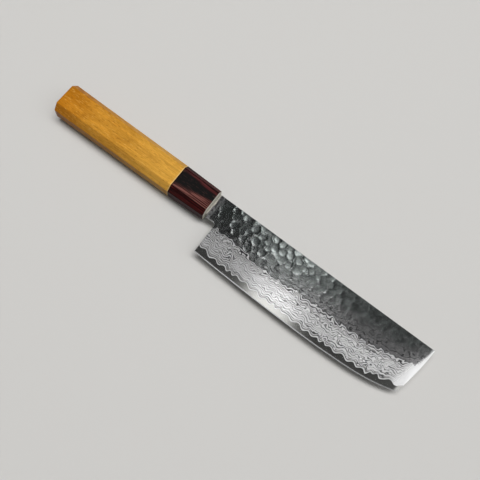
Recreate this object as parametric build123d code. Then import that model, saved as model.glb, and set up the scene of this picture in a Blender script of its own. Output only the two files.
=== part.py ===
from build123d import *
from math import pi, sin
import os

os.makedirs("parts", exist_ok=True)

# A Japanese vegetable knife with a three-layer blade and an octagonal handle, lying on its left side.
# +X runs from the butt of the handle to the tip of the blade, the cutting edge faces -Y,
# and the right side of the blade faces +Z.
# Every piece is drawn from a point on the middle plane of the blade, on the centre line of the
# handle, where the blade leaves the ferrule. At the end the whole knife is moved, so that the
# origin is below the middle of its box, on the surface that the handle lies on.

# Blade, seen from the side
edge_length = 160.0
neck_length = 9.6
spine_rise = 9.9
spine_fall = 1.0
neck_depth = 9.1
neck_corner_radius = 2.0
heel_depth = 33.1
tip_depth = 28.5
tip_rake = 7.9
tip_bulge = 1.0
belly_sag = 5.6
belly_station_share = 0.65
rear_belly_power = 1.5
front_belly_power = 3.3

# Blade, across its thickness
blade_thickness = 1.9
core_thickness = 0.48
grind_height = 22.0
behind_edge_thickness = 0.3
edge_bevel_height = 0.6

# Wavy border where the core comes out from under the claddings
core_reveal = 4.2
heel_reveal_gain = 1.5
heel_reveal_length = 14.0
wave_height = 0.6
wave_pitch = 7.0
slow_wave_height = 0.35
slow_wave_pitch = 37.0
arcs_per_wave = 2

# Tang and the step behind the neck
tang_length = 92.0
tang_root_height = 9.0
tang_tail_height = 5.0
tail_round_share = 0.8
neck_clearance = 0.15
notch_length = 1.3
notch_height = 1.9

# Handle, an octagon at the butt, at the joint and at the ferrule's front face
ferrule_length = 29.2
handle_body_length = 97.2
butt_height = 24.2
butt_thickness = 18.8
joint_height = 23.3
joint_thickness = 17.9
front_height = 21.9
front_thickness = 17.4
butt_corner_cut = 3.95
joint_corner_cut = 3.8
front_corner_cut = 3.4
corner_cut_slant = 1.28
edge_radius = 1.0
front_edge_share = 0.6

# Inside the handle
slot_clearance = 0.25
glue_gap = 0.05
dowel_wall = 1.25
dowel_depth_in_ferrule = 17.0
dowel_depth_in_body = 21.0
dowel_edge_chamfer = 0.8
tang_hole_clearance = 0.8
tang_hole_extra = 4.0
resin_front_gap = 0.8
resin_tail_gap = 1.5

# Stations along the blade at which its section is drawn, and how far cuts run past a face
blade_station_count = 12
overrun = 3.0

# Sizes that follow
half_blade = blade_thickness / 2
half_core = core_thickness / 2
half_behind_edge = behind_edge_thickness / 2
heel_x = neck_length
tip_x = heel_x + edge_length
spine_tip_x = tip_x + tip_rake
spine_tip_y = spine_rise - spine_fall
joint_x = -ferrule_length
butt_x = joint_x - handle_body_length
ferrule_bore_x = joint_x + dowel_depth_in_ferrule
body_bore_x = joint_x - dowel_depth_in_body
tang_hole_x = -tang_length - tang_hole_extra
slot_width = blade_thickness + 2 * slot_clearance
slot_height = tang_root_height + 2 * slot_clearance
dowel_diameter = slot_height + 2 * dowel_wall
bore_diameter = dowel_diameter + 2 * glue_gap
tang_taper = (tang_root_height - tang_tail_height) / tang_length
tang_hole_diameter = tang_root_height + tang_taper * body_bore_x + 2 * tang_hole_clearance


def edge_y(x):
    """Height of the cutting edge below the handle's centre line, at a distance from the ferrule."""
    share = (x - heel_x) / edge_length
    chord_y = -heel_depth + (heel_depth - tip_depth) * share
    if share < belly_station_share:
        flatness = (1 - share / belly_station_share) ** rear_belly_power
    else:
        flatness = ((share - belly_station_share) / (1 - belly_station_share)) ** front_belly_power
    return chord_y - belly_sag * (1 - flatness)


def cladding_border_y(x):
    """Height at which the cladding ends and the core starts to show."""
    heel_share = max(0, 1 - (x - heel_x) / heel_reveal_length)
    reveal = core_reveal + heel_reveal_gain * heel_share ** 2
    slow_turn = sin(2 * pi * x / slow_wave_pitch)
    wave = wave_height * sin(2 * pi * x / wave_pitch + slow_turn)
    return edge_y(x) + reveal + slow_wave_height * slow_turn + wave


def octagon(x, height, thickness, corner_cut):
    """Corners of the handle's cross-section at a distance from the ferrule's front face."""
    half_height = height / 2
    half_thickness = thickness / 2
    corner_cut_z = corner_cut * corner_cut_slant
    quarter = [(half_height, half_thickness - corner_cut_z), (half_height - corner_cut, half_thickness)]
    upper = quarter + [(-y, z) for y, z in reversed(quarter)]
    lower = [(-y, -z) for y, z in upper]
    return [Vector(x, y, z) for y, z in upper + lower]


def tapered_block(rear, front):
    """An octagonal block with flat facets between two cross-sections."""
    outlines = [rear, front]
    for index in range(len(rear)):
        outlines.append([rear[index - 1], rear[index], front[index], front[index - 1]])
    facets = [make_face(Polyline(outline, close=True)).face() for outline in outlines]
    return Solid(Shell(facets))


def long_edges(block):
    """The edges of a block that run along the handle."""
    return block.edges().filter_by(lambda edge: abs(edge.tangent_at(0.5).X) > 0.9)


def rod(diameter, rear_x, front_x):
    """A round bar on the handle's centre line."""
    plane = Plane(origin=(rear_x, 0, 0), x_dir=(0, 1, 0), z_dir=(1, 0, 0))
    return extrude(plane * Circle(diameter / 2), front_x - rear_x)


def slot_block(width, height, rear_x, front_x):
    """A flat bar on the handle's centre line."""
    plane = Plane(origin=(rear_x, 0, 0), x_dir=(0, 1, 0), z_dir=(1, 0, 0))
    return extrude(plane * Rectangle(height, width), front_x - rear_x)


# The blade blank, a flat plate of full thickness
def blade_plate():
    spine_root = Vector(neck_clearance, spine_rise)
    spine_tip = Vector(spine_tip_x, spine_tip_y)
    edge_tip = Vector(tip_x, -tip_depth)
    tip_run = edge_tip - spine_tip
    tip_normal = Vector(-tip_run.Y, tip_run.X).normalized()
    tip_middle = (spine_tip + edge_tip) * 0.5 + tip_normal * tip_bulge
    tip_line = ThreePointArc(spine_tip, tip_middle, edge_tip)
    below_tip = edge_tip + tip_line.tangent_at(1) * overrun
    lowest = -heel_depth - belly_sag - overrun
    notch_x = neck_clearance + notch_length
    border = Polyline(
        below_tip,
        (below_tip.X, lowest),
        (heel_x, lowest),
        (heel_x, -neck_depth),
        (notch_x, -neck_depth),
        (notch_x, -neck_depth + notch_height),
        (neck_clearance, -neck_depth + notch_height),
        spine_root,
        spine_tip,
    )
    outline = make_face(Wire(border.edges() + [tip_line, Line(edge_tip, below_tip)]))
    plate = extrude(outline, half_blade, both=True)
    inner_corner = plate.edges().filter_by(Axis.Z).sort_by_distance(Vertex(heel_x, -neck_depth, 0))[0]
    return fillet(inner_corner, neck_corner_radius)


# The two ground faces and the small bevels at the edge, as one long wedge
def ground_wedge():
    slope = (half_blade - half_behind_edge) / (grind_height - edge_bevel_height)
    wedge_height = heel_depth + spine_rise + overrun
    half_top = half_behind_edge + slope * (wedge_height - edge_bevel_height)
    first_x = -overrun
    last_x = spine_tip_x + overrun
    sections = []
    for index in range(blade_station_count):
        x = first_x + (last_x - first_x) * index / (blade_station_count - 1)
        base = edge_y(x)
        right = [
            Vector(x, base + edge_bevel_height, half_behind_edge),
            Vector(x, base + wedge_height, half_top),
        ]
        left = [Vector(point.X, point.Y, -point.Z) for point in reversed(right)]
        sections.append(make_face(Polyline([Vector(x, base, 0)] + right + left, close=True)))
    return loft(sections)


# The tang, a flat bar that narrows towards its tail
def tang_bar():
    half_root = tang_root_height / 2
    half_tail = tang_tail_height / 2
    corners = [
        (neck_clearance, half_root),
        (-tang_length, half_tail),
        (-tang_length, -half_tail),
        (neck_clearance, -half_root),
    ]
    bar = extrude(make_face(Polyline(corners, close=True)), half_blade, both=True)
    tail_edges = bar.edges().filter_by(Axis.Z).group_by(Axis.X)[0]
    return fillet(tail_edges, half_tail * tail_round_share)


# The area of one side that the cladding covers, from the wavy border up
def cladding_area():
    rear_x = -tang_length - overrun
    front_x = spine_tip_x + overrun
    top_y = spine_rise + overrun
    arc_length = wave_pitch / arcs_per_wave
    arc_count = int((front_x - heel_x + overrun) / arc_length) + 1
    arcs = []
    for index in range(arc_count):
        x = heel_x - overrun + index * arc_length
        arc_stations = [x, x + arc_length / 2, x + arc_length]
        arcs.append(ThreePointArc([Vector(station, cladding_border_y(station)) for station in arc_stations]))
    first = arcs[0].position_at(0)
    last = arcs[-1].position_at(1)
    border = Polyline(last, (last.X, top_y), (rear_x, top_y), (rear_x, first.Y), first)
    return make_face(Wire(border.edges() + arcs))


# Blade: the blank is ground to the wedge, then parted into its three layers
forging = (blade_plate() & ground_wedge()) + tang_bar()
outer_layer = Plane.XY.offset(half_core) * cladding_area()
right_cladding = forging & extrude(outer_layer, half_blade)
left_cladding = mirror(right_cladding, Plane.XY)
blade_core = forging - right_cladding - left_cladding

# Handle body and ferrule
butt_section = octagon(butt_x, butt_height, butt_thickness, butt_corner_cut)
joint_section = octagon(joint_x, joint_height, joint_thickness, joint_corner_cut)
front_section = octagon(0, front_height, front_thickness, front_corner_cut)
body_block = tapered_block(butt_section, joint_section)
butt_edges = body_block.faces().sort_by(Axis.X)[0].edges()
body_block = fillet(long_edges(body_block) + butt_edges, edge_radius)
ferrule_block = tapered_block(joint_section, front_section)
ferrule_block = fillet(long_edges(ferrule_block), edge_radius)
ferrule_block = fillet(ferrule_block.faces().sort_by(Axis.X)[-1].edges(), edge_radius * front_edge_share)

# The round bores for the dowel, the tang's slot in the ferrule and its hole in the body
ferrule_slot = slot_block(slot_width, slot_height, ferrule_bore_x - glue_gap, overrun)
ferrule_bore = rod(bore_diameter, joint_x - overrun, ferrule_bore_x + glue_gap)
body_bore = rod(bore_diameter, body_bore_x - glue_gap, joint_x + overrun)
tang_hole = rod(tang_hole_diameter, tang_hole_x, body_bore_x)
ferrule = ferrule_block - ferrule_slot - ferrule_bore
handle_body = body_block - body_bore - tang_hole

# Dowel with its slot for the tang
dowel_slot = slot_block(slot_width, slot_height, body_bore_x - overrun, ferrule_bore_x + overrun)
dowel_bar = rod(dowel_diameter, body_bore_x, ferrule_bore_x)
dowel_bar = chamfer(dowel_bar.edges().filter_by(GeomType.CIRCLE), dowel_edge_chamfer)
dowel = dowel_bar - dowel_slot

# Resin around the tang, from just inside the ferrule's front face to past the tail
slot_fill = slot_block(slot_width, slot_height, body_bore_x, -resin_front_gap)
hole_fill = rod(tang_hole_diameter, -tang_length - resin_tail_gap, body_bore_x)
tang_resin = slot_fill + hole_fill - forging

pieces = {
    "blade_core": blade_core,
    "right_cladding": right_cladding,
    "left_cladding": left_cladding,
    "ferrule": ferrule,
    "handle_body": handle_body,
    "tang_dowel": dowel,
    "tang_resin": tang_resin,
}

# The whole knife is moved to its own origin
boxes = [piece.bounding_box() for piece in pieces.values()]
middle_x = (min(box.min.X for box in boxes) + max(box.max.X for box in boxes)) / 2
middle_y = (min(box.min.Y for box in boxes) + max(box.max.Y for box in boxes)) / 2
lowest_z = min(box.min.Z for box in boxes)
to_origin = Pos(-middle_x, -middle_y, -lowest_z)
for name, piece in pieces.items():
    export_step(to_origin * piece, f"parts/{name}.step")
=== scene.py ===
import math
import random

import bpy
import numpy as np
from mathutils import Matrix, Vector


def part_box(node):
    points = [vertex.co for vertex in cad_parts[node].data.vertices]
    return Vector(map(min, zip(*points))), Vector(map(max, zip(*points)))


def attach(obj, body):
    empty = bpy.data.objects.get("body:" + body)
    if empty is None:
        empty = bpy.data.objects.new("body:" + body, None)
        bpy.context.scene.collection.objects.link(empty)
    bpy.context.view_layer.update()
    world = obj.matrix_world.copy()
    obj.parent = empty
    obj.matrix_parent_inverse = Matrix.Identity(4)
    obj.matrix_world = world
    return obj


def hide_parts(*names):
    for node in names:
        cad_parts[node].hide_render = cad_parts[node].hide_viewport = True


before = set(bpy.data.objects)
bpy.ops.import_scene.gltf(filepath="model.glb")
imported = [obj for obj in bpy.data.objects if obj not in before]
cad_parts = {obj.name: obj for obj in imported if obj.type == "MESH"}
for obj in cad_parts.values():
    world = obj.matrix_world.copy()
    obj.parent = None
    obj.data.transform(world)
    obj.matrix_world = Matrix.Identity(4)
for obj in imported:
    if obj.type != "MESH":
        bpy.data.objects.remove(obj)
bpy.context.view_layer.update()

# Lengths on the knife are written in millimetres, and those of the floor and the lamp in metres
MM = 0.001

# The knife is drawn from a point on the middle plane of the blade, on the centre line of the handle,
# where the blade leaves the ferrule. +X runs to the tip, +Y to the spine, +Z out of the right side.
ferrule_low, ferrule_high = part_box("ferrule")
ferrule_middle = (ferrule_low + ferrule_high) / 2
ORIGIN = Vector((ferrule_high.x, ferrule_middle.y, ferrule_middle.z))

# Blade, seen from the side
EDGE_LENGTH = 160.0
NECK_LENGTH = 9.6
SPINE_RISE = 9.9
SPINE_FALL = 1.0
NECK_DEPTH = 9.1
NECK_CORNER_RADIUS = 2.0
HEEL_DEPTH = 33.1
TIP_DEPTH = 28.5
TIP_RAKE = 7.9
TIP_BULGE = 1.0
TIP_SHARE_LIMITS = (-0.2, 1.2)
BELLY_SAG = 5.6
BELLY_STATION_SHARE = 0.65
REAR_BELLY_POWER = 1.5
FRONT_BELLY_POWER = 3.3
NECK_CLEARANCE = 0.15
NOTCH_LENGTH = 1.3
NOTCH_HEIGHT = 1.9

# Blade, across its thickness
HALF_BLADE = 0.95
HALF_CORE = 0.2
GRIND_HEIGHT = 22.0
HALF_BEHIND_EDGE = 0.15
EDGE_BEVEL_HEIGHT = 0.6
MEAN_DENT = 0.1
# The cutting edge lies this much inside the solid's, and a cladding is at least this thick
EDGE_LIFT = 0.01
LEAST_COVER = 0.01

# Rolled-off tip end, and eased edges and corners
TIP_ROLL_SLOPE = 0.11
TIP_ROLL_SHARE = 0.6
TIP_ROLL_LENGTHS = (1.0, 5.0)
TIP_ROLL_FALL = 14.0
CORE_ROLL_LENGTH = 3.0
CORE_ROLL_HALF = 0.03
EDGE_EASE = 0.05
EDGE_EASE_SHARE = 0.4
NECK_EASE_WIDTH = 0.65
NECK_EASE_SLOPE = 0.28

# Wavy border where the core comes out from under the claddings
CORE_REVEAL = 4.2
HEEL_REVEAL_GAIN = 1.5
HEEL_REVEAL_LENGTH = 14.0
WAVE_HEIGHT = 0.8
WAVE_PITCH = 7.0
WAVE_DRIFT = 1.6
UNEVEN_WAVE_HEIGHT = 0.25
UNEVEN_WAVE_PITCH = 5.1
UNEVEN_WAVE_DRIFT = 2.5
SLOW_WAVE_HEIGHT = 0.35
SLOW_WAVE_PITCH = 37.0
# Single deep folds of the border: place, rise, half width
FOLDS = (
    (31.0, 0.5, 2.5),
    (86.0, -0.6, 3.0),
    (121.5, -0.9, 2.6),
    (146.9, -1.0, 2.0),
    (152.0, 1.5, 2.2),
    (155.4, -0.9, 1.6),
    (162.0, 0.9, 4.0),
)

# Layers of the claddings. A layer's place is 0 at the hammered skin and 1 at the border with the core.
LAYER_LIMITS = (-0.9, 1.2)
BURIED_LAYER = -0.3
# How lines wander in the side view: step of the seed, squeeze of the height, pitch, amount
SKIN_WANDER = (2, 0.8, 5.0, 0.026)
LAYER_WANDERS = ((0, 0.5, 9.0, 0.034), (1, 0.7, 4.5, 0.028))

# Smooth random waves
RIPPLE_OCTAVES = 2
RIPPLE_WAVES = 9
RIPPLE_WEIGHT_STEP = 0.6
RIPPLE_PITCH_STEP = 1.7
RIPPLE_PITCH_SPREAD = (0.75, 1.35)

# Tang
TANG_LENGTH = 92.0
TANG_ROOT_HEIGHT = 9.0
TANG_TAIL_HEIGHT = 5.0
TANG_ROUND_STEPS = 8

# Mesh of the blade
CELL = 0.42
CORNER_STEPS = 8
UPPER_STEPS = 40
MIDDLE_STEPS = 9
LOWER_STEPS = 52
BARE_STEPS = 9
CORE_BORDER_SHARE = 0.997
BEND_POWER = 3
BEND_ROUNDS = 8
SHARP_ANGLE = math.radians(6)

# Sizes that follow
HEEL_X = NECK_LENGTH
TIP_X = HEEL_X + EDGE_LENGTH
NOTCH_X = NECK_CLEARANCE + NOTCH_LENGTH
NOTCH_Y = -NECK_DEPTH + NOTCH_HEIGHT
CORNER_Y = -NECK_DEPTH - NECK_CORNER_RADIUS
BEVEL_SLOPE = (HALF_BLADE - MEAN_DENT - HALF_BEHIND_EDGE) / (GRIND_HEIGHT - EDGE_BEVEL_HEIGHT)


def edge_y(x):
    """Height of the cutting edge, from the handle's centre line."""
    share = (np.asarray(x, float) - HEEL_X) / EDGE_LENGTH
    chord_y = -HEEL_DEPTH + (HEEL_DEPTH - TIP_DEPTH) * share
    rear = np.clip(1 - share / BELLY_STATION_SHARE, 0, None) ** REAR_BELLY_POWER
    front = np.clip((share - BELLY_STATION_SHARE) / (1 - BELLY_STATION_SHARE), 0, None) ** FRONT_BELLY_POWER
    flatness = np.where(share < BELLY_STATION_SHARE, rear, front)
    return chord_y - BELLY_SAG * (1 - flatness)


def border_y(x):
    """Height at which the cladding ends and the core starts to show."""
    x = np.asarray(x, float)
    heel_share = np.clip(1 - (x - HEEL_X) / HEEL_REVEAL_LENGTH, 0, 1)
    slow_turn = np.sin(2 * np.pi * x / SLOW_WAVE_PITCH)
    wave = WAVE_HEIGHT * np.sin(2 * np.pi * x / WAVE_PITCH + WAVE_DRIFT * slow_turn)
    uneven_turn = 2 * np.pi * x / UNEVEN_WAVE_PITCH + UNEVEN_WAVE_DRIFT * slow_turn
    wave = wave + UNEVEN_WAVE_HEIGHT * np.sin(uneven_turn)
    for place, rise, half_width in FOLDS:
        wave = wave + rise * np.exp(-(((x - place) / half_width) ** 2))
    reveal = CORE_REVEAL + HEEL_REVEAL_GAIN * heel_share ** 2
    return edge_y(x) + reveal + SLOW_WAVE_HEIGHT * slow_turn + wave


def spine_y(x):
    """Height of the spine, from the handle's centre line."""
    share = (np.asarray(x, float) - NECK_CLEARANCE) / (TIP_X + TIP_RAKE - NECK_CLEARANCE)
    return SPINE_RISE - SPINE_FALL * share


def tip_x_at(y):
    """Distance of the blade's blunt end from the ferrule, at a height."""
    share = (np.asarray(y, float) + TIP_DEPTH) / (SPINE_RISE - SPINE_FALL + TIP_DEPTH)
    share = np.clip(share, *TIP_SHARE_LIMITS)
    return TIP_X + TIP_RAKE * share + 4 * TIP_BULGE * share * (1 - share)


def neck_bottom_y(x):
    """Height of the underside of the neck, with its rounded inner corner."""
    run = np.clip(np.asarray(x, float) - (HEEL_X - NECK_CORNER_RADIUS), 0, NECK_CORNER_RADIUS)
    return CORNER_Y + np.sqrt(NECK_CORNER_RADIUS ** 2 - run ** 2)


def half_ground(rise):
    """Half the thickness that the grind leaves, at a height above the cutting edge."""
    return HALF_BEHIND_EDGE + BEVEL_SLOPE * (rise - EDGE_BEVEL_HEIGHT)


def joined(*runs):
    """Runs of values put end to end, with each shared end once."""
    return np.concatenate([runs[0]] + [run[1:] for run in runs[1:]])


def even_steps(count):
    """Evenly spaced shares from 0 to 1."""
    return np.linspace(0, 1, count + 1)


def eased_run(start, end):
    """Values from start to end about one cell apart, after a first short step for an eased edge."""
    inner = start + EDGE_EASE
    count = max(2, int(round(abs(end - inner) / CELL)) + 1)
    return joined(np.array([start, inner]), np.linspace(inner, end, count))


class Plan:
    """A side view of the blade as columns of points, from the spine down to the cladding's border.

    A strip of faces lies between each column and the next. It has few rows beside the ferrule, more
    in the neck, and all of them from the heel on.
    """

    def __init__(self, upper, middle, lower):
        """Takes the shares at which rows lie from spine to notch, on to the neck and on to the border."""
        self.upper, self.middle, self.lower = upper, middle, lower
        angles = np.linspace(0, math.pi / 2, CORNER_STEPS + 1)
        corner_x = HEEL_X - NECK_CORNER_RADIUS + NECK_CORNER_RADIUS * np.sin(angles)
        notch = eased_run(NECK_CLEARANCE, NOTCH_X)
        neck = joined(eased_run(NOTCH_X, corner_x[0]), corner_x)
        blade = joined(eased_run(HEEL_X, TIP_X - EDGE_EASE), np.array([TIP_X - EDGE_EASE, TIP_X]))
        self.base_x = joined(notch, neck, blade)
        notch_rows = len(upper)
        neck_rows = notch_rows + len(middle) - 1
        blade_rows = neck_rows + len(lower) - 1
        strips = [notch_rows] * (len(notch) - 1)
        strips += [neck_rows] * (len(neck) - 1)
        strips += [blade_rows] * (len(blade) - 1)
        # Rows of the strips on either side of each column
        self.rows_left = [1] + strips
        self.rows_right = strips + [1]
        self.columns = [self.column(index) for index in range(len(self.base_x))]

    def bent_x(self, index, y):
        """Distance of a column's point from the ferrule. Towards the tip, columns follow its blunt end."""
        base = self.base_x[index]
        pull = np.clip((base - HEEL_X) / EDGE_LENGTH, 0, 1) ** BEND_POWER
        return base + (tip_x_at(y) - TIP_X) * pull

    def column(self, index):
        """The points of one column, as an array of x and y."""
        x = np.full(max(self.rows_left[index], self.rows_right[index]), self.base_x[index])
        for _ in range(BEND_ROUNDS):
            x = self.bent_x(index, self.heights(x))
        return np.stack([x, self.heights(x)], axis=1)

    def heights(self, x):
        """The heights of a column's rows."""
        top = spine_y(x[0])
        runs = [top + (NOTCH_Y - top) * self.upper]
        neck_row = len(self.upper) + len(self.middle) - 2
        if len(x) > neck_row:
            foot = neck_bottom_y(x[neck_row]) if x[neck_row] <= HEEL_X else CORNER_Y
            runs.append(NOTCH_Y + (foot - NOTCH_Y) * self.middle[1:])
        if len(x) > neck_row + 1:
            runs.append(CORNER_Y + (border_y(x[-1]) - CORNER_Y) * self.lower[1:])
        return np.concatenate(runs)

    def first_numbers(self):
        """The number of each column's first point, when all points are counted in one run."""
        return np.cumsum([0] + [len(column) for column in self.columns[:-1]]).tolist()


def strip_faces(here, there, rows):
    """Faces between two columns, given the numbers of their first points."""
    return [(here + row, here + row + 1, there + row + 1, there + row) for row in range(rows - 1)]


def corner_rows(neighbour_rows, rows):
    """Rows at which an inner face has a corner: both ends, and each row that a wall joins."""
    return [0] + list(range(min(max(1, neighbour_rows - 1), rows - 1), rows))


def rim_walls(plan, first, count, foot_strips):
    """Walls around the outline, to the same points of the other side, whose numbers are count higher."""
    walls = []

    def wall(start, end):
        """One wall under the line from start to end."""
        walls.append((start, end, end + count, start + count))

    for index, (here, there) in enumerate(zip(first, first[1:])):
        foot = plan.rows_right[index] - 1
        wall(here, there)
        if index < foot_strips:
            wall(there + foot, here + foot)
        for row in range(plan.rows_left[index] - 1, foot):
            wall(here + row + 1, here + row)
    for row in range(plan.rows_left[-1] - 1):
        wall(first[-1] + row, first[-1] + row + 1)
    return walls


def inner_faces(plan, first, count):
    """The flat side of a cladding that lies on the core, with one long face for each strip."""
    faces = []
    for index, (here, there) in enumerate(zip(first, first[1:])):
        rows = plan.rows_right[index]
        face = [there + row + count for row in corner_rows(plan.rows_right[index + 1], rows)]
        face += [here + row + count for row in reversed(corner_rows(plan.rows_left[index], rows))]
        faces.append(tuple(face))
    return faces


class DentField:
    """Hammer marks of one side of the blade: shallow oval bowls with rounded ridges between them."""

    PITCH = 5.6
    JITTER = 1.5
    RADII = (2.9, 4.5)
    STRETCHES = (0.88, 1.2)
    DEPTHS = (0.09, 0.2)
    BOWL_POWER = 1.6
    RIDGE_SHARPNESS = 5
    # Where the first mark lies, and how much further than the blade they all reach
    START_X = -4
    START_RISE = 3
    SPARE_LENGTH = 16
    SPARE_HEIGHT = 8
    # The marks lie calmer towards the tip, and below the grind line, where they only bend the layers
    CALM_FROM, CALM_TO, CALM_SHARE = 60.0, 115.0, 0.36
    LOW_FROM, LOW_TO, LOW_SHARE = 34.0, 22.0, 0.45
    # A broad shallow hollow, where the grind line comes lower: middle, half width, depth
    HOLLOW = (56.0, 17.0, 0.08)
    PLAIN_LENGTH = 2.2

    def __init__(self, seed):
        draw = random.Random(seed)
        self.marks = []
        row_pitch = self.PITCH * math.sqrt(3) / 2
        row_count = int((SPINE_RISE + HEEL_DEPTH + BELLY_SAG + self.SPARE_HEIGHT) / row_pitch)
        column_count = int((TIP_X + TIP_RAKE + self.SPARE_LENGTH) / self.PITCH)
        for row in range(row_count):
            for column in range(column_count):
                x = self.START_X + (column + 0.5 * (row % 2)) * self.PITCH
                x += draw.uniform(-self.JITTER, self.JITTER)
                y = SPINE_RISE + self.START_RISE - row * row_pitch
                y += draw.uniform(-self.JITTER, self.JITTER)
                radius = draw.uniform(*self.RADII)
                stretch = draw.uniform(*self.STRETCHES)
                angle = draw.uniform(0, math.pi)
                depth = draw.uniform(*self.DEPTHS)
                self.marks.append((x, y, radius, stretch, angle, depth))

    def depth(self, x, y):
        """How deep the surface lies below the plate's own face."""
        total = np.zeros(len(x))
        for mark_x, mark_y, radius, stretch, angle, depth in self.marks:
            reach = radius * stretch
            near = np.nonzero((np.abs(x - mark_x) < reach) & (np.abs(y - mark_y) < reach))[0]
            run_x = x[near] - mark_x
            run_y = y[near] - mark_y
            along = (run_x * math.cos(angle) + run_y * math.sin(angle)) / (radius * stretch)
            across = (-run_x * math.sin(angle) + run_y * math.cos(angle)) / (radius / stretch)
            spread = along ** 2 + across ** 2
            bowl = depth * np.clip(1 - spread ** self.BOWL_POWER, 0, None)
            total[near] += bowl ** self.RIDGE_SHARPNESS
        middle, half_width, hollow_depth = self.HOLLOW
        hollow = hollow_depth * np.exp(-(((x - middle) / half_width) ** 2))
        forward = np.clip((x - self.CALM_FROM) / (self.CALM_TO - self.CALM_FROM), 0, 1)
        low = np.clip((y - edge_y(x) - self.LOW_FROM) / (self.LOW_TO - self.LOW_FROM), 0, 1)
        calm = (1 - (1 - self.CALM_SHARE) * forward) * (1 - (1 - self.LOW_SHARE) * low)
        plain = np.clip((x - NOTCH_X) / self.PLAIN_LENGTH, 0, 1)
        marks = MEAN_DENT + (total ** (1 / self.RIDGE_SHARPNESS) - MEAN_DENT) * calm
        return np.clip(marks + hollow, 0, None) * plain


def ripple(x, y, seed, pitch):
    """Smooth random waves in the side view, between about -1 and 1."""
    draw = random.Random(seed)
    total = np.zeros(len(x))
    weight_sum = 0
    for octave in range(RIPPLE_OCTAVES):
        weight = RIPPLE_WEIGHT_STEP ** octave
        for _ in range(RIPPLE_WAVES):
            angle = draw.uniform(0, 2 * math.pi)
            length = pitch / (RIPPLE_PITCH_STEP ** octave) * draw.uniform(*RIPPLE_PITCH_SPREAD)
            phase = draw.uniform(0, 2 * math.pi)
            along = x * math.cos(angle) + y * math.sin(angle)
            total += weight * np.sin(2 * math.pi * along / length + phase)
        weight_sum += weight * math.sqrt(RIPPLE_WAVES / 2)
    return total / weight_sum


def wandering(x, y, seed, seed_step, squeeze, pitch, amount):
    """How far a line wanders at points in the side view."""
    return ripple(x, y * squeeze, seed + seed_step, pitch) * amount


def side_shape(x, y, dents, seed):
    """Shape of one side of the blade, at points in its side view.

    Gives the half thickness, the place in the layers, the depth of the grind below the hammered skin,
    and how far the tip end is rolled off.
    """
    ground_half = half_ground(y - edge_y(x))
    dent = dents.depth(x, y)
    outer = np.minimum(ground_half, HALF_BLADE - dent)

    # The tip end is rolled off, wider below than at the spine
    least, most = TIP_ROLL_LENGTHS
    roll_length = least + (most - least) * np.clip((spine_y(x) - y) / TIP_ROLL_FALL, 0, 1)
    cover = np.clip(outer - HALF_CORE, LEAST_COVER, None)
    roll_length = np.minimum(roll_length, 2 * TIP_ROLL_SHARE * cover / TIP_ROLL_SLOPE)
    roll = np.clip(1 - (tip_x_at(y) - x) / roll_length, 0, 1) ** 2
    outer = outer - TIP_ROLL_SLOPE / 2 * roll_length * roll

    # The skin's thickness varies a little, so its border wanders along the line of the marks
    skin = dent + wandering(x, y, seed, *SKIN_WANDER)
    ground = HALF_BLADE - ground_half - skin
    ground_at_border = HALF_BLADE - half_ground(border_y(x) - edge_y(x)) - skin
    layer = np.clip(ground / ground_at_border, *LAYER_LIMITS)
    inside = np.clip(layer, 0, 1)
    wander = sum(wandering(x, y, seed, *amounts) for amounts in LAYER_WANDERS)
    layer = layer + wander * 4 * inside * (1 - inside)
    return outer, layer, ground, roll


def add_object(name, data):
    """An object with this data, in the scene."""
    obj = bpy.data.objects.new(name, data)
    bpy.context.scene.collection.objects.link(obj)
    return obj


def add_blade_layer(name, vertices, faces, smooth_count):
    """A mesh in the knife's place, from points in millimetres. Only its first faces are smooth."""
    mesh = bpy.data.meshes.new(name)
    points = np.asarray(vertices, float) * MM + np.array(ORIGIN)
    mesh.from_pydata(points.tolist(), [], faces)
    mesh.update()
    smooth = np.arange(len(mesh.polygons)) < smooth_count
    mesh.polygons.foreach_set("use_smooth", smooth)
    return add_object(name, mesh)


def set_attribute(obj, name, values):
    """One number for each vertex, which materials can read."""
    attribute = obj.data.attributes.new(name, "FLOAT", "POINT")
    attribute.data.foreach_set("value", np.asarray(values, np.float32))


def with_tang(vertices, faces, low_z, high_z):
    """The vertices and faces, with those of the layer's buried bar as a closed block of its own."""
    half_root = TANG_ROOT_HEIGHT / 2
    half_tail = TANG_TAIL_HEIGHT / 2
    tail_x = half_tail - TANG_LENGTH
    outline = [(NECK_CLEARANCE, half_root), (tail_x, half_tail)]
    for step in range(1, TANG_ROUND_STEPS):
        angle = math.pi / 2 + math.pi * step / TANG_ROUND_STEPS
        outline.append((tail_x + half_tail * math.cos(angle), half_tail * math.sin(angle)))
    outline += [(tail_x, -half_tail), (NECK_CLEARANCE, -half_root)]
    count = len(outline)
    block = [(x, y, z) for z in (high_z, low_z) for x, y in outline]
    block_faces = [tuple(range(count)), tuple(reversed(range(count, 2 * count)))]
    for index in range(count):
        after = (index + 1) % count
        block_faces.append((after, index, index + count, after + count))
    moved = [tuple(number + len(vertices) for number in face) for face in block_faces]
    return np.concatenate([vertices, np.array(block)]), faces + moved


def eased_points(plan, first, count):
    """Marks a cladding's points along its outline, apart from its border with the core."""
    eased = np.zeros(count, bool)
    last = len(first) - 1
    for index, start in enumerate(first):
        end = start + len(plan.columns[index])
        eased[start] = True
        if plan.base_x[index] < HEEL_X:
            eased[end - 1] = True
        if plan.rows_left[index] < plan.rows_right[index]:
            eased[start + plan.rows_left[index] - 1 : end] = True
        if index == last:
            eased[start:end] = True
    return eased


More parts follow.
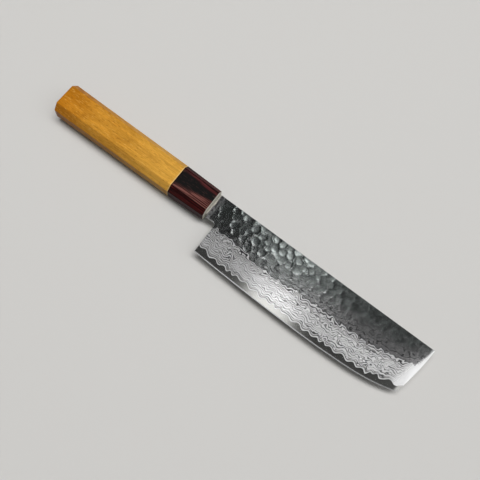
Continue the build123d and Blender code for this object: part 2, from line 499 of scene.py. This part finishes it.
def cladding(name, side, seed):
    """One layered outer side of the blade, hammered above and ground below: 1 is right and -1 left."""
    ease_share = EDGE_EASE / (SPINE_RISE - NOTCH_Y)
    upper = joined(np.array([0, ease_share, 2 * ease_share]), np.linspace(2 * ease_share, 1, UPPER_STEPS + 1))
    plan = Plan(upper, even_steps(MIDDLE_STEPS), even_steps(LOWER_STEPS))
    first = plan.first_numbers()
    points = np.concatenate(plan.columns)
    x, y = points.T
    count = len(points)
    outer_z, layer, ground, roll = side_shape(x, y, DentField(seed), seed)

    ease = np.minimum(EDGE_EASE, EDGE_EASE_SHARE * (outer_z - HALF_CORE))
    ease = np.where(eased_points(plan, first, count), ease, 0)
    in_neck = (x > NOTCH_X) & (x < HEEL_X)
    neck_ease = NECK_EASE_SLOPE * np.clip(NECK_EASE_WIDTH - (y - neck_bottom_y(x)), 0, NECK_EASE_WIDTH)
    ease = np.where(in_neck, np.maximum(ease, neck_ease), ease)
    outer_z = np.maximum(outer_z - ease, HALF_CORE + LEAST_COVER)

    outer_points = np.column_stack([points, outer_z])
    inner_points = np.column_stack([points, np.full(count, HALF_CORE)])
    outer_faces = []
    for index, (here, there) in enumerate(zip(first, first[1:])):
        outer_faces += strip_faces(here, there, plan.rows_right[index])
    faces = outer_faces + rim_walls(plan, first, count, len(first)) + inner_faces(plan, first, count)
    vertices = np.concatenate([outer_points, inner_points])
    vertices, faces = with_tang(vertices, faces, HALF_CORE, HALF_BLADE)
    vertices[:, 2] *= side
    if side < 0:
        faces = [tuple(reversed(face)) for face in faces]
    obj = add_blade_layer(name, vertices, faces, len(outer_faces))

    buried_count = len(vertices) - 2 * count
    for attribute, values, buried in (
        ("layer", layer, BURIED_LAYER),
        ("ground", ground, BURIED_LAYER),
        ("roll", roll, 0),
    ):
        set_attribute(obj, attribute, np.concatenate([values, values, np.full(buried_count, buried)]))
    set_attribute(obj, "from_tip", tip_x_at(vertices[:, 1]) - vertices[:, 0])
    return obj


def bare_points(plan, index):
    """One column of the bare core, below the border: x, y and half thickness, down to the cutting edge."""
    found = []
    start_x = plan.columns[index][-1][0]
    for share in even_steps(BARE_STEPS)[1:].tolist() + [None]:
        x = start_x
        for _ in range(BEND_ROUNDS):
            border_rise = border_y(x) - edge_y(x)
            rise = EDGE_LIFT if share is None else border_rise + (EDGE_BEVEL_HEIGHT - border_rise) * share
            y = edge_y(x) + rise
            x = plan.bent_x(index, y)
        found.append((x, y, 0 if share is None else half_ground(rise)))
    return np.array(found)


def core_piece(name):
    """The hard middle layer: hidden between the claddings, bare along the edge, with the edge bevels."""
    plan = Plan(even_steps(1), even_steps(1), np.array([0, CORE_BORDER_SHARE, 1]))
    heel_index = int(np.nonzero(plan.base_x <= HEEL_X)[0][-1])
    last = len(plan.columns) - 1
    halves = []
    for index, column in enumerate(plan.columns):
        half = np.full(len(column), HALF_CORE)
        if index >= heel_index:
            half[-1] = half_ground(column[-1][1] - edge_y(column[-1][0]))
            bare = bare_points(plan, index)
            plan.columns[index] = np.concatenate([column, bare[:, :2]])
            half = np.concatenate([half, bare[:, 2]])
        halves.append(half)
    for index in range(heel_index, last):
        plan.rows_right[index] += BARE_STEPS + 1
        plan.rows_left[index + 1] += BARE_STEPS + 1

    first = plan.first_numbers()
    points = np.concatenate(plan.columns)
    count = len(points)
    half = np.concatenate(halves)
    roll = np.clip(1 - (tip_x_at(points[:, 1]) - points[:, 0]) / CORE_ROLL_LENGTH, 0, 1) ** 2
    half = half - np.clip(half - CORE_ROLL_HALF, 0, None) * roll
    vertices = np.concatenate([np.column_stack([points, half]), np.column_stack([points, -half])])
    faces = []
    for index, (here, there) in enumerate(zip(first, first[1:])):
        for quad in strip_faces(here, there, plan.rows_right[index]):
            faces.append(quad)
            faces.append(tuple(number + count for number in reversed(quad)))
    smooth_count = len(faces)
    faces += rim_walls(plan, first, count, heel_index)

    # Right and left meet in one line along the cutting edge
    merged = {}
    for index in range(heel_index, last + 1):
        edge = first[index] + len(plan.columns[index]) - 1
        merged[edge + count] = edge
    faces = [tuple(dict.fromkeys(merged.get(number, number) for number in face)) for face in faces]
    kept = sorted({number for face in faces for number in face})
    places = {number: place for place, number in enumerate(kept)}
    faces = [tuple(places[number] for number in face) for face in faces]
    vertices, faces = with_tang(vertices[kept], faces, -HALF_CORE, HALF_CORE)
    obj = add_blade_layer(name, vertices, faces, smooth_count)
    set_attribute(obj, "rise", vertices[:, 1] - edge_y(vertices[:, 0]))
    obj.data.set_sharp_from_angle(angle=SHARP_ANGLE)
    return obj


class Shader:
    """The node tree of a material or of the world, with short calls for its nodes."""

    SOCKETS = {
        "colour": "Base Color",
        "metal": "Metallic",
        "rough": "Roughness",
        "normal": "Normal",
        "gloss": "Specular IOR Level",
    }

    def __init__(self, name, kind=None):
        self.material = bpy.data.worlds.new(name) if kind == "world" else bpy.data.materials.new(name)
        self.material.use_nodes = True
        self.tree = self.material.node_tree
        kinds = ("BSDF_PRINCIPLED", "BACKGROUND")
        self.surface = next(node for node in self.tree.nodes if node.type in kinds)

    def node(self, kind, inputs=None, **settings):
        """A node with its settings and inputs filled in."""
        made = self.tree.nodes.new(kind)
        for setting, value in settings.items():
            setattr(made, setting, value)
        for socket, value in (inputs or {}).items():
            self.put(made.inputs[socket], value)
        return made

    def put(self, socket, value):
        """Links a socket, or sets its value."""
        if isinstance(value, bpy.types.NodeSocket):
            self.tree.links.new(value, socket)
        else:
            socket.default_value = value

    def math(self, operation, first, second=0.0, third=0.0):
        """One sum, difference or function of values."""
        made = self.node("ShaderNodeMath", operation=operation)
        for index, value in enumerate((first, second, third)):
            self.put(made.inputs[index], value)
        return made.outputs[0]

    def times(self, first, second):
        """The product of two values."""
        return self.math("MULTIPLY", first, second)

    def shaken(self, value, noise, amount):
        """A value that a noise moves up and down, by up to half the amount."""
        return self.math("MULTIPLY_ADD", self.math("SUBTRACT", noise, 0.5), amount, value)

    def wave(self, value, pitch):
        """Goes from 1 to -1 and back once over each pitch of a value."""
        return self.math("COSINE", self.times(value, 2 * math.pi / pitch))

    def attribute(self, name):
        """The number that the mesh carries under this name."""
        return self.node("ShaderNodeAttribute", attribute_name=name).outputs["Fac"]

    def place(self, scale=(1, 1, 1), turn=(0, 0, 0), shift=(0, 0, 0)):
        """Object coordinates in metres, stretched."""
        coordinates = self.node("ShaderNodeTexCoord").outputs["Object"]
        inputs = {"Vector": coordinates, "Scale": scale, "Rotation": turn, "Location": shift}
        return self.node("ShaderNodeMapping", inputs).outputs[0]

    def axis(self, letter):
        """One object coordinate in metres."""
        return self.node("ShaderNodeSeparateXYZ", {"Vector": self.place()}).outputs[letter]

    def noise(self, vector, scale=1.0, detail=2.0, roughness=0.5, distortion=0.0):
        """Soft noise between 0 and 1, with its middle at a half."""
        inputs = {
            "Vector": vector,
            "Scale": scale,
            "Detail": detail,
            "Roughness": roughness,
            "Distortion": distortion,
        }
        return self.node("ShaderNodeTexNoise", inputs).outputs["Fac"]

    def cells(self, scale):
        """Scattered cells in the side view: the distance from a cell's middle, and its random colour."""
        inputs = {"Vector": self.place(scale), "Scale": 1.0}
        made = self.node("ShaderNodeTexVoronoi", inputs, voronoi_dimensions="2D")
        colour = self.node("ShaderNodeSeparateColor", {"Color": made.outputs["Color"]})
        return made.outputs["Distance"], colour.outputs

    def span(self, value, low, high, to_low=0.0, to_high=1.0, smooth=False):
        """A value's run from low to high, turned into another run and held at its ends."""
        inputs = {"Value": value, "From Min": low, "From Max": high, "To Min": to_low, "To Max": to_high}
        kind = "SMOOTHSTEP" if smooth else "LINEAR"
        return self.node("ShaderNodeMapRange", inputs, interpolation_type=kind).outputs[0]

    def mix(self, share, first, second, blend="MIX"):
        """A colour or number between two others. Numbers are greys."""
        made = self.node("ShaderNodeMix", data_type="RGBA", blend_type=blend)
        self.put(made.inputs["Factor"], share)
        for socket, value in ((made.inputs[6], first), (made.inputs[7], second)):
            value = (value,) * 3 if isinstance(value, float) else value
            self.put(socket, value + (1,) if isinstance(value, tuple) else value)
        return made.outputs[2]

    def bump(self, height, distance, strength):
        """A normal that follows a height map."""
        inputs = {"Height": height, "Distance": distance, "Strength": strength}
        return self.node("ShaderNodeBump", inputs).outputs[0]

    def seen(self):
        """1 for the camera and for reflections, and 0 for light that is thrown on."""
        path = self.node("ShaderNodeLightPath")
        return self.math("MAXIMUM", path.outputs["Is Camera Ray"], path.outputs["Is Glossy Ray"])

    def finish(self, **sockets):
        """Fills the surface's own sockets and returns the material."""
        for name, value in sockets.items():
            value = value + (1,) if isinstance(value, tuple) else value
            self.put(self.surface.inputs[self.SOCKETS[name]], value)
        return self.material


# Layers of the claddings' steel, counted from the skin to the core
EVEN_LAYERS = 11.5
BOLD_LAYERS = 8.5
CONTOUR_START = 0.026
CONTOUR_PITCH = 0.088
SKIN_RING_PITCH = 0.2
# Brightness of bare steel and of the etched layers' dark lines
BARE_BRIGHT = 0.95
BOLD_DARK = 0.07
EVEN_DARK = 0.14
# Colours of the claddings' steel
SKIN_COLOURS = ((0.29, 0.32, 0.31), (0.42, 0.45, 0.44))
SKIN_NEAR_BORDER = (0.92, 0.905, 0.915)
SKIN_RING = (0.15, 0.155, 0.155)
SCUFF_COLOURS = ((0.15, 0.145, 0.155), (0.42, 0.41, 0.425))
SMEAR_COLOURS = ((0.42, 0.40, 0.34), (0.70, 0.67, 0.60))


def etched_layers(s, x, layer, fine, toward_tip):
    """The ground face. Gives its brightness, its even layers, its folded layers and the white of its eyes."""
    wobbly = s.shaken(layer, fine, 0.016)

    # Even fine layers, stronger in patches
    even = s.math("MULTIPLY_ADD", s.wave(wobbly, 1 / EVEN_LAYERS), -0.5, 0.5)
    contrast = s.span(s.noise(s.place((110, 240, 100))), 0.36, 0.6, 0.45, 1.0)
    plain = s.mix(s.span(x, ORIGIN.x + 40 * MM, ORIGIN.x + 150 * MM), 0.76, 0.97)
    etched = s.mix(s.times(s.span(even, 0.62, 0.12), contrast), plain, EVEN_DARK)

    # Folded places, where thicker layers turn in bold lines
    distance, draws = s.cells((190, 300, 1))
    bulge = s.span(distance, 0.5, 0.0, smooth=True)
    lift = s.span(draws[0], 0.0, 1.0, -0.13, 0.16)
    folded = s.shaken(layer, s.noise(s.place((170, 280, 100))), 0.2)
    folded = s.math("MULTIPLY_ADD", bulge, lift, folded)
    bold = s.wave(folded, 1 / BOLD_LAYERS)
    places = s.noise(s.place((85, 330, 100), (0, 0, 0), (0.3, 0.1, 0)))
    over = s.math("SUBTRACT", places, s.span(toward_tip, 0.0, 1.0, 0.59, 0.475))
    folds = s.span(s.times(over, 12.0), 0.0, 1.0)
    etched = s.mix(s.times(s.span(bold, 0.1, 0.6), folds), etched, BARE_BRIGHT)
    etched = s.mix(s.times(s.span(bold, -0.35, -0.8), folds), etched, BOLD_DARK)

    # Small closed eyes where a fold is cut through
    distance, draws = s.cells((155, 240, 1))
    distance = s.shaken(distance, fine, 0.45)
    eye = s.times(s.span(draws[1], 0.3, 0.8), s.times(toward_tip, s.span(layer, 0.12, 0.2)))
    eye_white = s.times(eye, s.span(distance, 0.17, 0.10))
    eye_line = s.times(eye, s.times(s.span(distance, 0.13, 0.19), s.span(distance, 0.3, 0.23)))
    etched = s.mix(eye_white, etched, 0.98)
    etched = s.mix(s.times(eye_line, 0.7), etched, 0.08)

    # Dark and light contour lines along the hammered skin
    near_skin = s.span(layer, 0.13, 0.28, 1.0, 0.0)
    contour = s.wave(s.math("SUBTRACT", wobbly, CONTOUR_START), CONTOUR_PITCH)
    etched = s.mix(s.times(s.span(contour, 0.0, 0.6), near_skin), etched, 0.05)
    etched = s.mix(s.times(s.span(contour, -0.2, -0.8), near_skin), etched, 0.8)

    # The last layer, a dark line and then a bright one against the core
    last_dark = s.times(s.span(layer, 0.9, 0.92), s.span(layer, 0.965, 0.95))
    etched = s.mix(s.times(last_dark, 0.8), etched, 0.16)
    etched = s.mix(s.span(layer, 0.955, 0.965), etched, 0.97)
    return etched, even, folded, eye_white


def hammered_skin(s, here, layer, cloud, folded, toward_tip):
    """Colour of the skin, patchy towards the tip, and paler with thin rings along its border."""
    scale = s.noise(here, 210.0, 3.0, 0.6, 0.6)
    patches = s.mix(toward_tip, s.span(scale, 0.38, 0.62, 0.88, 1.08), s.span(scale, 0.38, 0.62, 0.6, 1.35))
    skin = s.mix(1.0, s.mix(cloud, *SKIN_COLOURS), patches, "MULTIPLY")
    pale = s.times(s.span(layer, -0.85, -0.1), s.span(toward_tip, 0.0, 1.0, 0.3, 0.95))
    skin = s.mix(pale, skin, SKIN_NEAR_BORDER)
    ring_line = s.span(s.wave(folded, SKIN_RING_PITCH), 0.7, 0.97)
    return s.mix(s.times(s.span(layer, -0.6, -0.35, 0.0, 0.8), ring_line), skin, SKIN_RING)


def layered_steel():
    """Hammered skin above, and below it the ground face, etched so that the folded layers show."""
    s = Shader("layered_steel")
    here = s.place()
    x = s.axis("X")
    layer = s.attribute("layer")
    rolled = s.attribute("roll")
    bare = s.span(s.attribute("ground"), -0.008, 0.012)
    toward_tip = s.span(x, ORIGIN.x + 70 * MM, ORIGIN.x + 120 * MM)
    etched, even, folded, eye_white = etched_layers(s, x, layer, s.noise(here, 500.0), toward_tip)

    # Polished out towards the tip end, and bright where the tip is rolled off
    worn = s.span(s.attribute("from_tip"), 11.0, 3.5, smooth=True)
    etched = s.mix(worn, etched, BARE_BRIGHT)
    cloud = s.noise(here, 60.0, 3.0)
    skin = hammered_skin(s, here, layer, cloud, folded, toward_tip)
    skin = s.mix(s.span(rolled, 0.02, 0.3), skin, BARE_BRIGHT)
    colour = s.mix(bare, skin, etched)

    # Next to the ferrule the steel is plain and scuffed, with a smear of the pale sealing resin
    blotch = s.noise(here, 420.0, 3.0)
    from_ferrule = s.shaken(x, blotch, 2.6 * MM)
    satin = s.span(from_ferrule, ORIGIN.x + 7.5 * MM, ORIGIN.x + 1.6 * MM)
    smear = s.span(from_ferrule, ORIGIN.x + 1.3 * MM, ORIGIN.x + 0.8 * MM)
    colour = s.mix(satin, colour, s.mix(s.span(blotch, 0.42, 0.58), *SCUFF_COLOURS))
    colour = s.mix(smear, colour, s.mix(blotch, *SMEAR_COLOURS))

    skin_rough = s.mix(satin, s.span(cloud, 0.3, 0.7, 0.12, 0.17), 0.36)
    skin_rough = s.mix(s.span(rolled, 0.0, 0.3), skin_rough, 0.3)
    rough = s.mix(bare, skin_rough, s.mix(worn, 0.14, 0.3))
    ground_metal = s.mix(eye_white, s.mix(toward_tip, 0.57, 0.42), 0.32)
    metal = s.mix(smear, s.mix(bare, 1.0, ground_metal), 0.0)
    return s.finish(colour=colour, metal=metal, rough=rough, normal=s.bump(even, 0.004 * MM, 0.6))


# Colours of the core's steel
BAND_COLOURS = ((0.34, 0.34, 0.325), (0.42, 0.42, 0.405))
HONED_BEVEL = (0.52, 0.52, 0.52)


def core_steel():
    """The bare core: a dark satin band, and a bright honed bevel at the edge."""
    s = Shader("core_steel")
    cloud = s.noise(s.place(), 90.0)
    band = s.mix(cloud, *BAND_COLOURS)
    bevel = s.span(s.attribute("rise"), EDGE_BEVEL_HEIGHT * 1.15, EDGE_BEVEL_HEIGHT * 0.85)
    colour = s.mix(bevel, band, HONED_BEVEL)
    rough = s.mix(bevel, s.span(cloud, 0.2, 0.8, 0.09, 0.12), 0.25)
    return s.finish(colour=colour, metal=0.95, rough=rough)


# Colours of the hardwood from the butt to the ferrule, and of its grain and pores
WOOD_AT_BUTT = (0.47, 0.172, 0.008)
WOOD_BETWEEN = (0.63, 0.295, 0.034)
WOOD_FORWARD = (0.74, 0.395, 0.062)
WOOD_GRAIN = (0.36, 0.13, 0.012)
WOOD_PORES = (0.25, 0.085, 0.008)
WOOD_FLECKS = (0.80, 0.48, 0.12)
# Painted highlight: the pale glint along the handle's edge at the joint
WOOD_JOINT_GLINT = (0.92, 0.68, 0.33)


def handle_wood():
    """Orange-yellow hardwood with straight grain along the handle, deeper in colour towards the butt."""
    s = Shader("handle_wood")
    slant = (0, 0, 0.05)
    long_grain = s.noise(s.place((16, 480, 480), slant), 1.0, 4.0, 0.6)
    fine_grain = s.noise(s.place((60, 2300, 2300), slant), 1.0, 3.0, 0.6)
    pores = s.noise(s.place((330, 1250, 1250), slant))
    figure = s.noise(s.place((34, 95, 95), (0, 0, 0.2)), 1.0, 3.0, 0.55, 1.4)
    x = s.axis("X")
    warped = s.shaken(x, figure, 30 * MM)
    colour = s.mix(s.span(warped, -150 * MM, -115 * MM, smooth=True), WOOD_AT_BUTT, WOOD_BETWEEN)
    colour = s.mix(s.span(warped, -115 * MM, -60 * MM, smooth=True), colour, WOOD_FORWARD)
    tone = s.math("ADD", s.times(long_grain, 0.5), s.times(figure, 0.5))
    colour = s.mix(1.0, colour, s.span(tone, 0.34, 0.64, 0.76, 1.2), "MULTIPLY")
    colour = s.mix(s.span(fine_grain, 0.36, 0.66, 0.4, 0.0), colour, WOOD_GRAIN)
    colour = s.mix(s.span(pores, 0.58, 0.68, 0.0, 0.45), colour, WOOD_PORES)
    colour = s.mix(s.span(pores, 0.40, 0.32, 0.0, 0.35), colour, WOOD_FLECKS)
    # A painted highlight: a pale glint along the handle's edge at the joint
    painted_glint = s.span(x, ferrule_low.x - 0.8 * MM, ferrule_low.x - 0.3 * MM)
    colour = s.mix(s.times(painted_glint, 0.5), colour, WOOD_JOINT_GLINT)
    rough = s.span(long_grain, 0.3, 0.7, 0.4, 0.5)
    return s.finish(colour=colour, rough=rough, normal=s.bump(fine_grain, 0.05 * MM, 0.5), gloss=0.12)


# Colours of the dyed veneers, where pairs take turns, and of the pale cream painted highlight on the front
# face
HEART_BLACK = (0.011, 0.010, 0.010)
ROSE_VENEERS = ((0.20, 0.078, 0.066), (0.030, 0.009, 0.008))
DEEP_VENEERS = ((0.090, 0.022, 0.022), (0.018, 0.006, 0.006))
RED_VENEERS = ((0.12, 0.012, 0.012), (0.022, 0.005, 0.005))
VENEER_LINE = (0.010, 0.003, 0.003)
# Painted shade on the ferrule's outer bevels and sides
FERRULE_SIDE_SHADE = (0.020, 0.007, 0.007)
VENEER_PORES = (0.13, 0.06, 0.05)
FRONT_FACE_GLARE_COLOURS = ((0.84, 0.79, 0.66), (0.98, 0.95, 0.86))


def laminated_wood():
    """Dark red and black dyed veneers, pressed and polished, with a pale cream painted highlight over the
    front face.
    """
    s = Shader("laminated_ferrule_wood")
    x = s.axis("X")
    y = s.axis("Y")
    joint_x = ferrule_low.x
    sweep = s.noise(s.place((60, 260, 260), (0, 0, 0.15)), 1.0, 3.0, 0.55, 0.5)
    veneer = s.noise(s.place((30, 1200, 500)), 1.0, 2.0, 0.6)
    pores = s.noise(s.place((200, 1500, 1500)))

    # A black heart that narrows towards the front, within rose and then deep red
    middle = s.span(x, joint_x, ORIGIN.x, ORIGIN.y + 0.4 * MM, ORIGIN.y + 2.4 * MM)
    half = s.span(x, joint_x, ORIGIN.x, 5.6 * MM, 2.2 * MM)
    across = s.math("DIVIDE", s.math("ABSOLUTE", s.math("SUBTRACT", y, middle)), half)
    warped = s.shaken(s.shaken(across, sweep, 1.3), veneer, 0.8)
    heart = s.span(warped, 0.7, 1.35, smooth=True)
    by_turns = s.span(veneer, 0.44, 0.56)
    upper = s.span(y, ORIGIN.y + 1 * MM, ORIGIN.y + 4 * MM)
    around = s.mix(upper, s.mix(by_turns, *ROSE_VENEERS), s.mix(by_turns, *DEEP_VENEERS))
    colour = s.mix(heart, HEART_BLACK, around)

    # Bevels and sides: a dark line, red streaks and then a dull dark red, which is painted shade on the outer
    # bevels and the sides
    aside = s.math("ABSOLUTE", s.math("SUBTRACT", y, ORIGIN.y))
    colour = s.mix(s.span(aside, 7.0 * MM, 7.4 * MM), colour, VENEER_LINE)
    colour = s.mix(s.span(aside, 7.7 * MM, 8.1 * MM), colour, s.mix(s.span(veneer, 0.46, 0.56), *RED_VENEERS))
    colour = s.mix(s.span(aside, 9.0 * MM, 9.8 * MM, 0.0, 0.7), colour, FERRULE_SIDE_SHADE)
    colour = s.mix(s.span(pores, 0.60, 0.72, 0.0, 0.4), colour, VENEER_PORES)

    # A dark line at the joint, and a pale cream painted highlight over the front face, where it catches the
    # light
    joint_line = s.span(x, joint_x + 0.9 * MM, joint_x + 0.4 * MM)
    colour = s.mix(s.times(joint_line, 0.85), colour, VENEER_LINE)
    painted_glare = s.span(x, ORIGIN.x - 0.3 * MM, ORIGIN.x - 0.1 * MM)
    colour = s.mix(painted_glare, colour, s.mix(s.noise(s.place(), 700.0), *FRONT_FACE_GLARE_COLOURS))
    rough = s.mix(painted_glare, s.span(veneer, 0.3, 0.7, 0.3, 0.4), 0.55)
    return s.finish(colour=colour, rough=rough, normal=s.bump(veneer, 0.03 * MM, 0.4), gloss=0.03)


# Colours of the hidden dowel and of the resin around the tang
DOWEL_COLOURS = ((0.50, 0.33, 0.17), (0.72, 0.54, 0.33))
RESIN_COLOURS = ((0.55, 0.49, 0.34), (0.72, 0.66, 0.50))


def dowel_wood():
    """Plain pale wood of the hidden dowel."""
    s = Shader("dowel_wood")
    grain = s.noise(s.place((20, 900, 900)), 1.0, 4.0)
    colour = s.mix(grain, *DOWEL_COLOURS)
    return s.finish(colour=colour, rough=0.6, normal=s.bump(grain, 0.1 * MM, 0.4))


def resin():
    """Cured pale resin around the tang."""
    s = Shader("resin")
    cloud = s.noise(s.place(), 240.0, 3.0)
    colour = s.mix(cloud, *RESIN_COLOURS)
    return s.finish(colour=colour, rough=0.4, normal=s.bump(cloud, 0.1 * MM, 0.2))


# Blade
RIGHT_SEED = 11
LEFT_SEED = 12
right = cladding("right_cladding_steel", 1, RIGHT_SEED)
left = cladding("left_cladding_steel", -1, LEFT_SEED)
core = core_piece("blade_core_steel")
steel = layered_steel()
for piece, node in ((right, "right_cladding"), (left, "left_cladding")):
    piece.data.materials.append(steel)
    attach(piece, "root")
    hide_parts(node)
core.data.materials.append(core_steel())
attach(core, "root")
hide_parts("blade_core")

# Handle
for node, material in (
    ("handle_body", handle_wood()),
    ("ferrule", laminated_wood()),
    ("tang_dowel", dowel_wood()),
    ("tang_resin", resin()),
):
    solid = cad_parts[node]
    solid.data.materials.clear()
    solid.data.materials.append(material)

# Floor: pale where it is seen, and darker in the light that it throws back at the knife
FLOOR_HALF = 4.0
FLOOR_SEEN = (0.64, 0.63, 0.61)
FLOOR_THROWN = (0.24, 0.235, 0.225)
floor_mesh = bpy.data.meshes.new("floor")
corners = [(FLOOR_HALF * x, FLOOR_HALF * y, 0) for x, y in ((-1, -1), (1, -1), (1, 1), (-1, 1))]
floor_mesh.from_pydata(corners, [], [(0, 1, 2, 3)])
floor = add_object("floor", floor_mesh)
floor_shader = Shader("floor")
floor_colour = floor_shader.mix(floor_shader.seen(), FLOOR_THROWN, FLOOR_SEEN)
floor.data.materials.append(floor_shader.finish(colour=floor_colour, rough=0.85, gloss=0.2))

# One soft rectangular lamp overhead, left out of reflections: place, sizes and power
PANEL_PLACE = Vector((-0.12, 0.33, 2.42))
PANEL_SIZES = (2.1, 0.7)
PANEL_POWER = 49.5
panel = bpy.data.lights.new("overhead_panel", "AREA")
panel.shape = "RECTANGLE"
panel.size, panel.size_y = PANEL_SIZES
panel.energy = PANEL_POWER
lamp = add_object("overhead_panel", panel)
lamp.location = PANEL_PLACE
lamp.rotation_euler = (-PANEL_PLACE).to_track_quat("-Z", "Y").to_euler()
lamp.visible_glossy = False

# World: dim overhead, paler towards the walls, with soft bright patches.
# Each patch: direction, angle of its full part, angle at which it ends, strength.
PATCHES = (
    ((0.037, 0.152, 0.99), 0.036, 0.056, 2.5),
    ((0.012, 0.372, 0.925), 0.03, 0.062, 2.8),
    ((0.06, 0.29, 0.95), 0.03, 0.10, 0.25),
    ((0.25, 0.31, 0.92), 0.09, 0.2, 0.05),
    ((0.27, -0.17, 0.95), 0.12, 0.24, 0.7),
    ((0.637, 0.175, 0.75), 0.27, 0.38, 1.3),
    ((-0.03, -0.28, 0.96), 0.1, 0.2, 1.5),
)
WALL_LIGHT = 0.12
CEILING_LIGHT = 0.05
BACKGROUND = 0.55
# How steeply a direction climbs where the walls turn into the ceiling, and where they stop being seen
CEILING_CLIMB = (0.2, 0.8)
SEEN_CLIMB = (0.35, 0.2)
world = Shader("studio", "world")
direction = world.node("ShaderNodeTexCoord").outputs["Generated"]
height = world.node("ShaderNodeSeparateXYZ", {"Vector": direction}).outputs["Z"]
light = world.span(height, *CEILING_CLIMB, WALL_LIGHT, CEILING_LIGHT, smooth=True)
for middle, full_angle, end_angle, strength in PATCHES:
    vectors = {0: direction, 1: Vector(middle).normalized()}
    toward = world.node("ShaderNodeVectorMath", vectors, operation="DOT_PRODUCT").outputs["Value"]
    patch = world.span(toward, math.cos(end_angle), math.cos(full_angle), 0.0, strength, smooth=True)
    light = world.math("ADD", light, patch)
# The walls look plain and pale, whatever light they give
at_wall = world.times(world.seen(), world.span(height, *SEEN_CLIMB))
light = world.times(light, world.math("SUBTRACT", 1.0, at_wall))
light = world.math("ADD", light, world.times(at_wall, BACKGROUND))
world.put(world.surface.inputs["Strength"], light)
world.put(world.surface.inputs["Color"], (1, 1, 1, 1))
bpy.context.scene.world = world.material

# Camera, at the photograph's place
CAMERA_PLACE = Vector((56.29, -113.04, 362.05))
CAMERA_RIGHT = Vector((0.80671, 0.5809, 0.10855))
CAMERA_UP = Vector((-0.58664, 0.76506, 0.26559))
CAMERA_BACK = Vector((0.07124, -0.27793, 0.95796))
lens = bpy.data.cameras.new("camera")
lens.lens = 42.0
lens.sensor_width = 36.0
lens.clip_start = 0.01
lens.clip_end = 50.0
camera = add_object("camera", lens)
turn = Matrix((CAMERA_RIGHT, CAMERA_UP, CAMERA_BACK)).transposed()
camera.matrix_world = Matrix.Translation(ORIGIN + CAMERA_PLACE * MM) @ turn.to_4x4()
bpy.context.scene.camera = camera
bpy.context.scene.view_settings.view_transform = "Standard"

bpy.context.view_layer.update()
